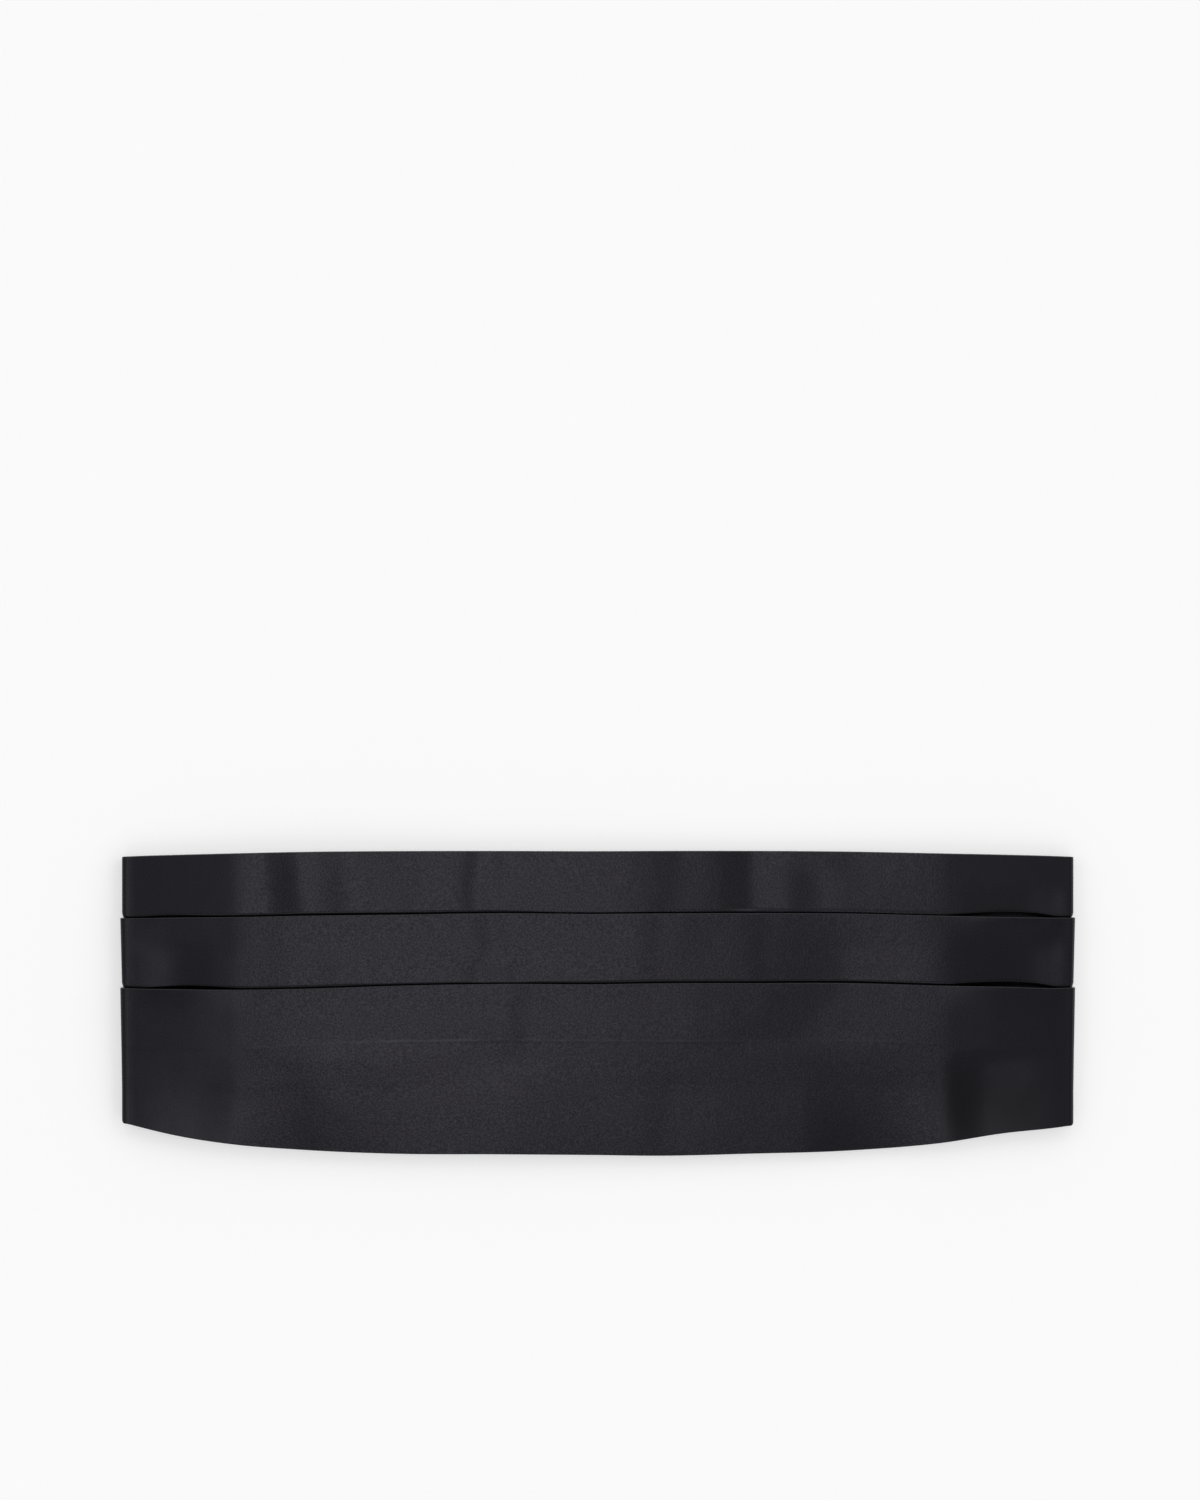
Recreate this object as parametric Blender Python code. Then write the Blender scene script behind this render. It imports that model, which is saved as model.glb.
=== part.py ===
"""Satin cummerbund with three upward pleats, fastened behind and laid flat with its face up.

The pleated front is turned under at both sides, so every layer runs across the front, round
both folds and on to the end of a wing behind. An elastic strap with a flat hook and eye joins
the two wings and closes the loop.

+X runs along the front to the right, +Y towards the top hem, +Z up from the table.
Lengths are in millimetres up to the function that makes a mesh, which turns them into metres.
"""

import math
from collections import namedtuple

import bmesh
import bpy
import numpy as np

METRES = 0.001

# Driving sizes of the cloth
FRONT_WIDTH = 400.0        # across both folds
WALL = 1.0                 # one layer of cloth, with its share of interlining
GAP = 0.3                  # between pieces that touch or are sewn together
FOLD_INNER_RADIUS = 0.5    # inside each side fold, where four layers lie on each other
UNDERLAP = 24.5            # how far a pleat's hidden layer runs on under the next one
PLEAT_HEIGHT = 29.5        # of the middle pleat on the front, which the underlap is scaled by
WING_END = 326.0           # along the panel, from its middle to the end of a wing
HEM_INSET = 1.3            # the backing's edge, inside the hem that turns round it

# Heights above the backing's inner face, through the layers
BACKING_TOP = WALL
SINGLE_LOW = BACKING_TOP + GAP
SINGLE_TOP = SINGLE_LOW + WALL
DOUBLE_LOW = SINGLE_TOP + GAP
DOUBLE_TOP = DOUBLE_LOW + WALL

# The side folds: a half turn from the front's inner face down to the wing's
FOLD_START = FRONT_WIDTH / 2 - FOLD_INNER_RADIUS - DOUBLE_TOP
FOLD_INNER_HEIGHT = DOUBLE_TOP + 2 * FOLD_INNER_RADIUS
FOLD_LENGTH = math.pi * (FOLD_INNER_RADIUS + DOUBLE_TOP / 2)

# Lines across the panel, from the left wing's end to the right wing's end
Line = namedtuple("Line", "along top_hem upper_fold lower_fold bottom_hem")
PANEL_LINES = [
    Line(-WING_END, 52.0, 39.5, 25.3, -3.0),
    Line(-265.0, 58.3, 37.8, 15.2, -27.5),
    Line(-203.0, 61.2, 36.1, 7.2, -48.6),
    Line(-196.0, 61.6, 35.95, 6.7, -50.6),
    Line(-175.0, 62.3, 36.3, 6.2, -55.6),
    Line(-152.0, 62.9, 36.5, 6.15, -59.1),
    Line(-125.0, 63.5, 37.1, 6.65, -61.3),
    Line(-83.0, 63.85, 37.6, 7.8, -63.0),
    Line(-41.0, 63.9, 38.2, 8.45, -63.2),
    Line(0.0, 63.8, 37.9, 8.3, -63.6),
    Line(25.0, 63.9, 38.1, 8.7, -63.9),
    Line(64.0, 63.9, 38.2, 8.75, -63.1),
    Line(106.0, 63.6, 38.1, 8.9, -61.75),
    Line(144.5, 62.8, 37.2, 7.9, -58.4),
    Line(169.0, 62.3, 36.8, 7.65, -54.6),
    Line(196.0, 61.5, 36.4, 6.95, -51.5),
    Line(203.0, 61.2, 36.4, 7.4, -50.2),
    Line(265.0, 58.3, 37.9, 15.3, -29.5),
    Line(WING_END, 52.0, 39.5, 25.3, -3.0),
]

# Height of the front's inner face: it climbs from each fold to a crease ridge, then sags
Rise = namedtuple("Rise", "x height")
FRONT_RISE = [
    Rise(-FOLD_START, FOLD_INNER_HEIGHT),
    Rise(-152.0, 6.1),
    Rise(-110.0, 5.5),
    Rise(-60.0, 4.8),
    Rise(0.0, 4.4),
    Rise(60.0, 4.8),
    Rise(104.0, 5.5),
    Rise(144.5, 6.1),
    Rise(FOLD_START, FOLD_INNER_HEIGHT),
]

# Where no wing lies under it, the front droops towards its hems
BOTTOM_DROOP = 2.2
BOTTOM_DROOP_FROM = -8.0
TOP_DROOP = 0.8
TOP_DROOP_FROM = 45.0
DROOP_REACH = 56.0
DROOP_FULL_X = 90.0
DROOP_END_X = 165.0

# Soft folds of the front: ridges (height above zero) and troughs, fading along their length
Crease = namedtuple("Crease", "x y half_width half_length height lean")
CREASES = [
    Crease(-138.0, 52.0, 15.0, 26.0, 0.45, 0.0),
    Crease(-50.0, 20.0, 16.0, 60.0, 0.25, -0.15),
    Crease(24.0, 25.0, 15.0, 45.0, -0.25, 0.1),
    Crease(63.0, 52.0, 16.0, 26.0, 0.50, 0.0),
    Crease(96.0, 8.0, 22.0, 34.0, 0.55, 0.4),
    Crease(158.0, -38.0, 15.0, 30.0, -0.45, -0.1),
    Crease(-166.0, -44.0, 16.0, 26.0, -0.35, 0.2),
    Crease(178.0, 17.0, 16.0, 18.0, -0.45, 0.0),
    Crease(-178.0, 17.0, 14.0, 18.0, -0.45, 0.0),
]

# A pleat's folded edge stands a little open along its whole length, and gapes in places
EDGE_LIFT = 0.35
LIFT_REACH = 14.0
LIFT_FADE_X = 12.0
Gape = namedtuple("Gape", "x half_width lift")
UPPER_GAPES = [Gape(-165.0, 24.0, 0.5), Gape(85.0, 30.0, 0.3), Gape(169.0, 24.0, 1.4)]
LOWER_GAPES = [Gape(-163.0, 24.0, 1.1), Gape(85.0, 30.0, 0.3), Gape(167.0, 26.0, 1.5)]

# How the layers step down past the end of a hidden underlap, and up to pass over a folded edge
UNDERLAP_CLEARANCE = 0.4
MIDDLE_STEP = 3.4
LOWER_STEP = 2.4
RAMP_START = 2.2
RAMP_END = 0.1

# Elastic strap and clasp behind
STRAP_WIDTH = 38.0
STRAP_MIDDLE_Y = 24.5
STRAP_TURN_X = 9.0         # the strap's end turns back round the clasp's bar here
STRAP_TURN_BACK = 15.0
CLASP_HEIGHT = 44.0
CLASP_THICKNESS = 1.0
CLASP_BAR = 2.4            # width of the bars that the strap and the hook go round
EYE_END_X = 0.9            # the eye's bar that the hook holds ends here, left of the middle
HOOK_PLATE_END_X = 6.0
TONGUE_WIDTH = 16.0
TONGUE_THICKNESS = 0.8

# Steps along the panel
WING_STEPS = 8
FOLD_STEPS = 8
FRONT_STEP = 8.5

# Colours
SATIN = (0.022, 0.021, 0.026)
LINING = (0.018, 0.018, 0.021)
ELASTIC = (0.012, 0.012, 0.013)
STEEL = (0.30, 0.30, 0.31)


def clear_scene():
    for item in list(bpy.data.objects):
        bpy.data.objects.remove(item, do_unlink=True)


def make_material(name, colour, roughness, metallic=0.0):
    material = bpy.data.materials.new(name)
    material.use_nodes = True
    shader = material.node_tree.nodes["Principled BSDF"]
    shader.inputs["Base Color"].default_value = (*colour, 1.0)
    shader.inputs["Roughness"].default_value = roughness
    shader.inputs["Metallic"].default_value = metallic
    return material


# ---------------------------------------------------------------------- the panel's form

def smooth_step(value, start, end):
    """0 at start, 1 at end, with level ends."""
    share = min(max((value - start) / (end - start), 0.0), 1.0)
    return share * share * (3.0 - 2.0 * share)


def bump(distance, half_width):
    """1 at the middle and 0 from half_width on."""
    share = min(abs(distance) / half_width, 1.0)
    return (1.0 - share * share) ** 2


def curve_through(rows, column, along):
    """A smooth curve through one column of PANEL_LINES."""
    places = [row.along for row in rows]
    values = [getattr(row, column) for row in rows]
    slopes = np.gradient(values, places)
    index = min(max(int(np.searchsorted(places, along)) - 1, 0), len(places) - 2)
    span = places[index + 1] - places[index]
    share = (along - places[index]) / span
    square = share * share
    cube = square * share
    return float((2 * cube - 3 * square + 1) * values[index]
                 + (cube - 2 * square + share) * span * slopes[index]
                 + (3 * square - 2 * cube) * values[index + 1]
                 + (cube - square) * span * slopes[index + 1])


def panel_lines(along):
    """The hems and folded edges at one place along the panel."""
    return Line(along, *(curve_through(PANEL_LINES, column, along) for column in Line._fields[1:]))


def narrowing(lines):
    """1 on the front, less on a wing, where the pleats run together."""
    return min((lines.upper_fold - lines.lower_fold) / PLEAT_HEIGHT, 1.0)


def layers_thickness(lines, y):
    """Height of the whole stack of layers at a place on the panel."""
    scale = narrowing(lines)
    underlap_end = lines.lower_fold - (UNDERLAP + UNDERLAP_CLEARANCE) * scale
    step_end = underlap_end - LOWER_STEP * scale
    places = [step_end, underlap_end, lines.upper_fold + RAMP_END, lines.upper_fold + RAMP_START]
    return float(np.interp(y, places, [SINGLE_TOP, DOUBLE_TOP, DOUBLE_TOP, SINGLE_TOP]))


def droop(x, y):
    reach = 1.0 - smooth_step(abs(x), DROOP_FULL_X, DROOP_END_X)
    below = max(BOTTOM_DROOP_FROM - y, 0.0) / DROOP_REACH
    above = max(y - TOP_DROOP_FROM, 0.0) / (DROOP_REACH / 3)
    return reach * (BOTTOM_DROOP * below ** 1.5 + TOP_DROOP * above ** 1.5)


def crease_height(x, y):
    height = 0.0
    for crease in CREASES:
        across = x - crease.x - crease.lean * (y - crease.y)
        height += (crease.height * bump(across, crease.half_width)
                   * bump(y - crease.y, crease.half_length))
    return height * (1.0 - smooth_step(abs(x), FOLD_START - LIFT_FADE_X, FOLD_START))


def front_height(x, y):
    """Height of the front's inner face above the table."""
    rise = np.interp(x, [row.x for row in FRONT_RISE], [row.height for row in FRONT_RISE])
    return float(rise) - droop(x, y) + crease_height(x, y)


def place(along, y, height):
    """A point of the folded panel: height is measured out from the backing's inner face."""
    side = math.copysign(1.0, along)
    past_front = abs(along) - FOLD_START
    if past_front <= 0.0:
        return (along, y, front_height(along, y) + height)
    thickness = layers_thickness(panel_lines(along), y)
    if past_front >= FOLD_LENGTH:
        return (side * (FOLD_START - (past_front - FOLD_LENGTH)), y, thickness - height)
    turn = math.pi * past_front / FOLD_LENGTH
    radius = (FOLD_INNER_HEIGHT - thickness) / 2
    middle = (FOLD_INNER_HEIGHT + thickness) / 2
    return (side * (FOLD_START + (radius + height) * math.sin(turn)), y,
            middle + (radius + height) * math.cos(turn))


def panel_stations():
    """Places along the panel where a section is taken."""
    fold_end = FOLD_START + FOLD_LENGTH
    stations = []
    front = [row.x for row in FRONT_RISE]
    for start, end in zip(front, front[1:]):
        steps = math.ceil((end - start) / FRONT_STEP)
        stations += list(np.linspace(start, end, steps, endpoint=False))
    stations.append(FOLD_START)
    fold = list(np.linspace(FOLD_START, fold_end, FOLD_STEPS + 1))[1:]
    wing = list(np.linspace(fold_end, WING_END, WING_STEPS + 1))[1:]
    tail = fold + wing
    return [-value for value in reversed(tail)] + stations + tail


# ------------------------------------------------------------------ sections of each layer

def edge_lift(along, gapes):
    """How far a folded edge stands up from the layer that it lies on."""
    fade = 1.0 - smooth_step(abs(along), FOLD_START - LIFT_FADE_X, FOLD_START)
    opening = sum(gape.lift * bump(along - gape.x, gape.half_width) for gape in gapes)
    return fade * (EDGE_LIFT + opening)


def folded_edge(fold_y, lift, reach):
    """Outer and inner points of a pleat, from its folded edge down to the underlap's end."""
    outer = [(fold_y, DOUBLE_LOW + lift + WALL * 0.5)]
    inner = []
    for below, round_off in ((0.25, 0.12), (1.0, 0.0), (0.25 * LIFT_REACH, 0.0),
                             (0.6 * LIFT_REACH, 0.0), (LIFT_REACH, 0.0)):
        share = min(below, reach) / LIFT_REACH
        raised = lift * max(1.0 - share, 0.0) ** 2
        y = fold_y - below * min(reach / UNDERLAP, 1.0)
        outer.append((y, DOUBLE_TOP + raised - round_off))
        inner.append((y, DOUBLE_LOW + raised + round_off))
    return outer, inner


def top_pleat_section(lines):
    hem = lines.top_hem
    fold = lines.upper_fold
    end = fold - UNDERLAP * narrowing(lines)
    middle = 0.5 * (hem + fold)
    return [
        (hem - WALL, 0.0), (hem - 0.3, 0.0), (hem, 0.4), (hem, SINGLE_TOP - 0.8),
        (hem - 0.35, SINGLE_TOP - 0.2), (hem - 1.1, SINGLE_TOP),
        (middle, SINGLE_TOP), (fold + RAMP_START, SINGLE_TOP), (fold + RAMP_END, SINGLE_TOP),
        (0.5 * (fold + end), SINGLE_TOP), (end, SINGLE_TOP),
        (end, SINGLE_LOW), (0.5 * (fold + end), SINGLE_LOW), (fold + RAMP_END, SINGLE_LOW),
        (fold + RAMP_START, SINGLE_LOW), (middle, SINGLE_LOW), (hem - WALL, SINGLE_LOW),
    ]


def middle_pleat_section(lines):
    scale = narrowing(lines)
    fold = lines.upper_fold
    reach = UNDERLAP * scale
    step = fold - reach - UNDERLAP_CLEARANCE * scale
    foot = step - MIDDLE_STEP * scale
    end = lines.lower_fold - reach
    half = 0.5 * (lines.lower_fold + end)
    outer, inner = folded_edge(fold, edge_lift(lines.along, UPPER_GAPES), reach)
    outer += [(step, DOUBLE_TOP), (foot, SINGLE_TOP), (half, SINGLE_TOP), (end, SINGLE_TOP)]
    inner += [(step, DOUBLE_LOW), (foot, SINGLE_LOW), (half, SINGLE_LOW), (end, SINGLE_LOW)]
    return outer + inner[::-1]


def lower_pleat_section(lines):
    scale = narrowing(lines)
    hem = lines.bottom_hem
    fold = lines.lower_fold
    reach = UNDERLAP * scale
    step = fold - reach - UNDERLAP_CLEARANCE * scale
    foot = step - LOWER_STEP * scale
    third = (foot - hem) / 3
    outer, inner = folded_edge(fold, edge_lift(lines.along, LOWER_GAPES), reach)
    outer += [
        (step, DOUBLE_TOP), (foot, SINGLE_TOP), (foot - third, SINGLE_TOP),
        (hem + third, SINGLE_TOP), (hem + 1.1, SINGLE_TOP), (hem + 0.35, SINGLE_TOP - 0.2),
        (hem, SINGLE_TOP - 0.8), (hem, 0.4), (hem + 0.3, 0.0), (hem + WALL, 0.0),
    ]
    inner += [
        (step, DOUBLE_LOW), (foot, SINGLE_LOW), (foot - third, SINGLE_LOW),
        (hem + third, SINGLE_LOW), (hem + WALL, SINGLE_LOW),
    ]
    return outer + inner[::-1]


def backing_section(lines):
    scale = narrowing(lines)
    underlap_end = lines.lower_fold - (UNDERLAP + UNDERLAP_CLEARANCE) * scale
    step_end = underlap_end - LOWER_STEP * scale
    low = lines.bottom_hem + HEM_INSET
    high = lines.top_hem - HEM_INSET
    third = (step_end - lines.bottom_hem) / 3
    places = [
        high, 0.5 * (lines.top_hem + lines.upper_fold), lines.upper_fold + RAMP_START,
        lines.upper_fold + RAMP_END, 0.5 * (lines.upper_fold + lines.lower_fold),
        lines.lower_fold, underlap_end, step_end, step_end - third, lines.bottom_hem + third, low,
    ]
    return [(y, BACKING_TOP) for y in places] + [(y, 0.0) for y in reversed(places)]


# ------------------------------------------------------------------------------- meshes

def mesh_object(name, points, faces, material):
    """An object from points in millimetres, its faces pointing out."""
    mesh = bpy.data.meshes.new(name)
    mesh.from_pydata([[value * METRES for value in point] for point in points], [], faces)
    shape = bmesh.new()
    shape.from_mesh(mesh)
    bmesh.ops.recalc_face_normals(shape, faces=shape.faces)
    shape.to_mesh(mesh)
    shape.free()
    mesh.materials.append(material)
    mesh.shade_smooth()
    mesh.set_sharp_from_angle(angle=math.radians(35.0))
    thing = bpy.data.objects.new(name, mesh)
    bpy.context.scene.collection.objects.link(thing)
    return thing


def loft(name, rings, material):
    """A closed solid through rings with the same number of points, with flat ends."""
    count = len(rings[0])
    points = [point for ring in rings for point in ring]
    faces = []
    for ring in range(len(rings) - 1):
        start = ring * count
        for index in range(count):
            after = (index + 1) % count
            faces.append((start + index, start + after,
                          start + count + after, start + count + index))
    last = (len(rings) - 1) * count
    faces.append(tuple(reversed(range(count))))
    faces.append(tuple(range(last, last + count)))
    return mesh_object(name, points, faces, material)


def make_layer(name, section, material):
    """One layer of the panel, from wing end to wing end."""
    rings = []
    for along in panel_stations():
        lines = panel_lines(along)
        rings.append([place(along, y, height) for y, height in section(lines)])
    return loft(name, rings, material)


def extrude_across(name, outline, low_y, high_y, material):
    """An outline in X and Z, drawn out along Y."""
    rings = [[(x, y, z) for x, z in outline] for y in (low_y, high_y)]
    return loft(name, rings, material)


# ------------------------------------------------------------------------ strap and clasp

def strap_outline(wing_x):
    """Side view of the left half: flat on the table, its end turned back round a clasp bar."""
    bar_middle = WALL + GAP + CLASP_THICKNESS / 2
    inner_radius = CLASP_THICKNESS / 2 + GAP
    outer_radius = inner_radius + WALL
    turns = [math.radians(degrees) for degrees in range(-90, 91, 30)]
    inner_turn = [(-STRAP_TURN_X + inner_radius * math.cos(turn),
                   bar_middle + inner_radius * math.sin(turn)) for turn in turns]
    outer_turn = [(-STRAP_TURN_X + outer_radius * math.cos(turn),
                   bar_middle + outer_radius * math.sin(turn)) for turn in turns]
    past_bar = -STRAP_TURN_X - CLASP_BAR - GAP
    tail = -STRAP_TURN_X - STRAP_TURN_BACK
    step = past_bar - 2.0
    return ([(wing_x, 0.0)] + outer_turn
            + [(past_bar, outer_turn[-1][1]), (step, 2 * WALL + GAP), (tail, 2 * WALL + GAP),
               (tail, WALL + GAP), (step, WALL + GAP), (past_bar, inner_turn[-1][1])]
            + inner_turn[::-1] + [(wing_x, WALL)])


def make_straps(material):
    wing_x = FOLD_START - (WING_END - FOLD_START - FOLD_LENGTH)
    low_y = STRAP_MIDDLE_Y - STRAP_WIDTH / 2
    high_y = STRAP_MIDDLE_Y + STRAP_WIDTH / 2
    left = strap_outline(-wing_x + GAP)
    right = [(-x, z) for x, z in reversed(left)]
    return [extrude_across("strap_left", left, low_y, high_y, material),
            extrude_across("strap_right", right, low_y, high_y, material)]


def framed_plate(name, xs, ys, height, material):
    """A flat plate with one slot: xs and ys are its outer edges and the slot's edges between."""
    outer = [(xs[0], ys[0]), (xs[3], ys[0]), (xs[3], ys[3]), (xs[0], ys[3])]
    inner = [(xs[1], ys[1]), (xs[2], ys[1]), (xs[2], ys[2]), (xs[1], ys[2])]
    points = []
    for z in (height, height + CLASP_THICKNESS):
        points += [(x, y, z) for x, y in outer] + [(x, y, z) for x, y in inner]
    faces = []
    for index in range(4):
        after = (index + 1) % 4
        faces += [
            (index, after, after + 4, index + 4),
            (index + 8, after + 8, after + 12, index + 12),
            (index, after, after + 8, index + 8),
            (index + 4, after + 4, after + 12, index + 12),
        ]
    return mesh_object(name, points, faces, material)


def make_clasp(material):
    """The eye on the left strap, and on the right one the hook whose tongue goes over its bar."""
    height = WALL + GAP
    low_y = STRAP_MIDDLE_Y - CLASP_HEIGHT / 2
    high_y = STRAP_MIDDLE_Y + CLASP_HEIGHT / 2
    side = (CLASP_HEIGHT - STRAP_WIDTH) / 2 - GAP
    ys = (low_y, low_y + side, high_y - side, high_y)
    eye_xs = (-STRAP_TURN_X - CLASP_BAR, -STRAP_TURN_X, -EYE_END_X - CLASP_BAR, -EYE_END_X)
    hook_xs = (-EYE_END_X + GAP, HOOK_PLATE_END_X, STRAP_TURN_X, STRAP_TURN_X + CLASP_BAR)
    eye = framed_plate("clasp_eye", eye_xs, ys, height, material)
    hook = framed_plate("clasp_hook", hook_xs, ys, height, material)

    inside = height + TONGUE_THICKNESS * 0.3
    over = height + CLASP_THICKNESS + GAP
    top = over + TONGUE_THICKNESS
    root = hook_xs[0] + CLASP_BAR / 2
    tip = eye_xs[2] - GAP
    bend = TONGUE_THICKNESS * 0.6
    outline = [
        (root + 2 * TONGUE_THICKNESS, inside), (root + 2 * TONGUE_THICKNESS, top - bend),
        (root + 2 * TONGUE_THICKNESS - bend, top), (tip - TONGUE_THICKNESS + bend, top),
        (tip - TONGUE_THICKNESS, top - bend), (tip - TONGUE_THICKNESS, inside),
        (tip, inside), (tip, over), (root, over), (root, inside),
    ]
    tongue = extrude_across("tongue_shape", outline, STRAP_MIDDLE_Y - TONGUE_WIDTH / 2,
                            STRAP_MIDDLE_Y + TONGUE_WIDTH / 2, material)
    tongue.hide_render = True
    tongue.display_type = "WIRE"
    join = hook.modifiers.new("tongue", "BOOLEAN")
    join.operation = "UNION"
    join.object = tongue
    return [eye, hook]


# -------------------------------------------------------------------------------- whole

def centre_over_origin(pieces):
    """Moves the pieces so that the origin is under their middle, on the table."""
    corners = np.array([vertex.co[:] for piece in pieces for vertex in piece.data.vertices])
    low = corners.min(axis=0)
    high = corners.max(axis=0)
    shift = (-(low[0] + high[0]) / 2, -(low[1] + high[1]) / 2, -low[2])
    for piece in bpy.data.objects:
        piece.location = shift


def main():
    clear_scene()
    satin = make_material("satin", SATIN, 0.33)
    lining = make_material("lining", LINING, 0.6)
    elastic = make_material("elastic", ELASTIC, 0.8)
    steel = make_material("steel", STEEL, 0.3, metallic=1.0)
    pieces = [
        make_layer("top_pleat", top_pleat_section, satin),
        make_layer("middle_pleat", middle_pleat_section, satin),
        make_layer("lower_pleat", lower_pleat_section, satin),
        make_layer("backing", backing_section, lining),
    ]
    pieces += make_straps(elastic)
    pieces += make_clasp(steel)
    centre_over_origin(pieces)


main()
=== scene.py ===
"""The looks of a black satin cummerbund that lies flat, fastened, with its face up.

One cut of satin runs from wing end to wing end in three upward pleats, with its real hidden
folds, over a lining. Lengths are in millimetres up to the functions that make meshes, and in
metres from there on.
"""

import math
from collections import namedtuple

import bmesh
import bpy
import numpy as np
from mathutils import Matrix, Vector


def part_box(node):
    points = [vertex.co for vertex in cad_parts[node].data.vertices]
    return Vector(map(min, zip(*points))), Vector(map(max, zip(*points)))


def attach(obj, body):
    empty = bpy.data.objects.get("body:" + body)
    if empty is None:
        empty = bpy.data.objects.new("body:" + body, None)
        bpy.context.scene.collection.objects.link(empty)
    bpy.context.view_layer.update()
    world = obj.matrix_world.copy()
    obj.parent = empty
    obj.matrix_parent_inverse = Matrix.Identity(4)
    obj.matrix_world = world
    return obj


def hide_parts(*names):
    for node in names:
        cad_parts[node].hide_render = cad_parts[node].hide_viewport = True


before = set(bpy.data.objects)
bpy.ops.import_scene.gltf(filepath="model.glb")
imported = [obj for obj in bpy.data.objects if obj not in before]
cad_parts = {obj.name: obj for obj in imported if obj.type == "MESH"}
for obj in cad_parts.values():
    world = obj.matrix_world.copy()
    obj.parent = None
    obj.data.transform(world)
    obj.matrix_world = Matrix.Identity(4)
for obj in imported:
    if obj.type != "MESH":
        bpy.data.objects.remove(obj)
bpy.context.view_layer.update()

METRES = 0.001
ROOT = "root"

# The satin's attributes: where a highlight is painted into it, how much of its grain shows and
# where shade is painted into it
PAINTED_HIGHLIGHT = "painted_highlight"
GRAINY = "grainy"
SHADED = "shaded"

# The folded panel. Heights of its layers are above the lining's inner face.
SIDE_INSET = 0.25          # between the widest solid's side and the satin's
FRONT_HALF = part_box("middle_pleat")[1][0] / METRES - SIDE_INSET
LINING_THICKNESS = 1.0
LAYER = 0.36               # thickness of the satin
SINGLE_TOP = 2.3           # outer face of one layer
PLEAT_STEP = 1.3           # how much higher a pleat's folded edge lies than the cloth beside it
DOUBLE_TOP = SINGLE_TOP + PLEAT_STEP
STEP_RAMP = 2.0            # stretch above a folded edge over which the stack's face falls
FOLD_INNER_RADIUS = 0.5
FOLD_START = FRONT_HALF - FOLD_INNER_RADIUS - DOUBLE_TOP
FOLD_INNER_HEIGHT = DOUBLE_TOP + 2 * FOLD_INNER_RADIUS
FOLD_LENGTH = math.pi * (FOLD_INNER_RADIUS + DOUBLE_TOP / 2)
FOLD_SQUARENESS = 7.0      # 2 would be a round fold
STRAP_GAP = 0.3            # between a wing's end and the strap's
WING_END = FOLD_START + FOLD_LENGTH + FOLD_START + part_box("strap_left")[0][0] / METRES - STRAP_GAP

# Lines across the panel, from the left wing's end to the right wing's end
Line = namedtuple("Line", "along top_hem upper_fold lower_fold bottom_hem")
PANEL_LINES = [
    Line(-WING_END, 52.0, 39.5, 25.3, -3.0),
    Line(-265.0, 58.3, 37.8, 15.2, -27.5),
    Line(-203.0, 61.3, 36.0, 7.1, -48.6),
    Line(-196.0, 61.7, 35.85, 6.6, -50.5),
    Line(-175.0, 62.4, 36.15, 6.2, -55.5),
    Line(-152.0, 63.0, 36.35, 6.0, -59.0),
    Line(-125.0, 63.6, 36.9, 6.4, -61.15),
    Line(-83.0, 63.95, 37.4, 7.7, -62.9),
    Line(-41.0, 64.0, 38.0, 8.45, -63.1),
    Line(0.0, 63.9, 37.7, 8.3, -63.45),
    Line(25.0, 64.0, 37.9, 8.7, -63.75),
    Line(64.0, 64.0, 38.0, 8.75, -62.9),
    Line(106.0, 63.7, 37.8, 8.75, -61.6),
    Line(144.5, 62.95, 36.9, 7.7, -58.3),
    Line(169.0, 62.45, 36.4, 7.25, -54.4),
    Line(196.0, 61.65, 36.05, 6.75, -51.3),
    Line(203.0, 61.3, 36.1, 7.2, -50.1),
    Line(265.0, 58.3, 37.9, 15.3, -29.5),
    Line(WING_END, 52.0, 39.5, 25.3, -3.0),
]
PLEAT_HEIGHT = 29.5        # where the pleats are at their full depth

# How far the cloth reaches under a pleat, from place to place along the panel
Underlap = namedtuple("Underlap", "x depth")
UNDERLAPS = [
    Underlap(-152.0, 24.5), Underlap(-125.0, 23.3), Underlap(-96.0, 23.0), Underlap(-66.0, 23.3),
    Underlap(-5.0, 23.5), Underlap(26.0, 24.4), Underlap(110.0, 24.3), Underlap(150.0, 24.5),
]

# Places of the points round a side fold, as shares of its half turn, closer at the corner
FOLD_PLACES = [0.08, 0.14, 0.18, 0.2, 0.22, 0.235, 0.25, 0.265, 0.285, 0.31, 0.37, 0.5,
               0.63, 0.7, 0.75, 0.8, 0.88, 1.0]

# Rounding of the lower corners, between places that are shares of a side fold's half turn
CORNER_ROUND = 1.4
CORNER_FROM = (0.2, 0.33)
CORNER_TO = (0.67, 0.8)

# Height of the front's inner face, bending softly at each row
Rise = namedtuple("Rise", "x height softness")
FRONT_RISE = [
    Rise(-FOLD_START, FOLD_INNER_HEIGHT, 2.0),
    Rise(-152.0, 6.2, 3.0),
    Rise(-100.0, 6.2, 15.0),
    Rise(10.0, 6.05, 15.0),
    Rise(100.0, 5.1, 15.0),
    Rise(146.0, 5.7, 3.5),
    Rise(FOLD_START, FOLD_INNER_HEIGHT, 2.0),
]

# How far both hems hang below the middle of the front: the depth, the height where it starts,
# how far the hem lies from there, and the stretches towards the sides over which it ends
BOTTOM_DROOP = 2.4
BOTTOM_DROOP_FROM = -8.0
BOTTOM_DROOP_REACH = 56.0
BOTTOM_DROOP_LEFT = (115.0, FOLD_START)
BOTTOM_DROOP_RIGHT = (130.0, FOLD_START)
TOP_DROOP = 0.6
TOP_DROOP_FROM = 45.0
TOP_DROOP_REACH = 18.7
TOP_DROOP_ENDS = (80.0, 150.0)
DROOP_CURVE = 1.5          # 1 would be a straight slope

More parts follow.
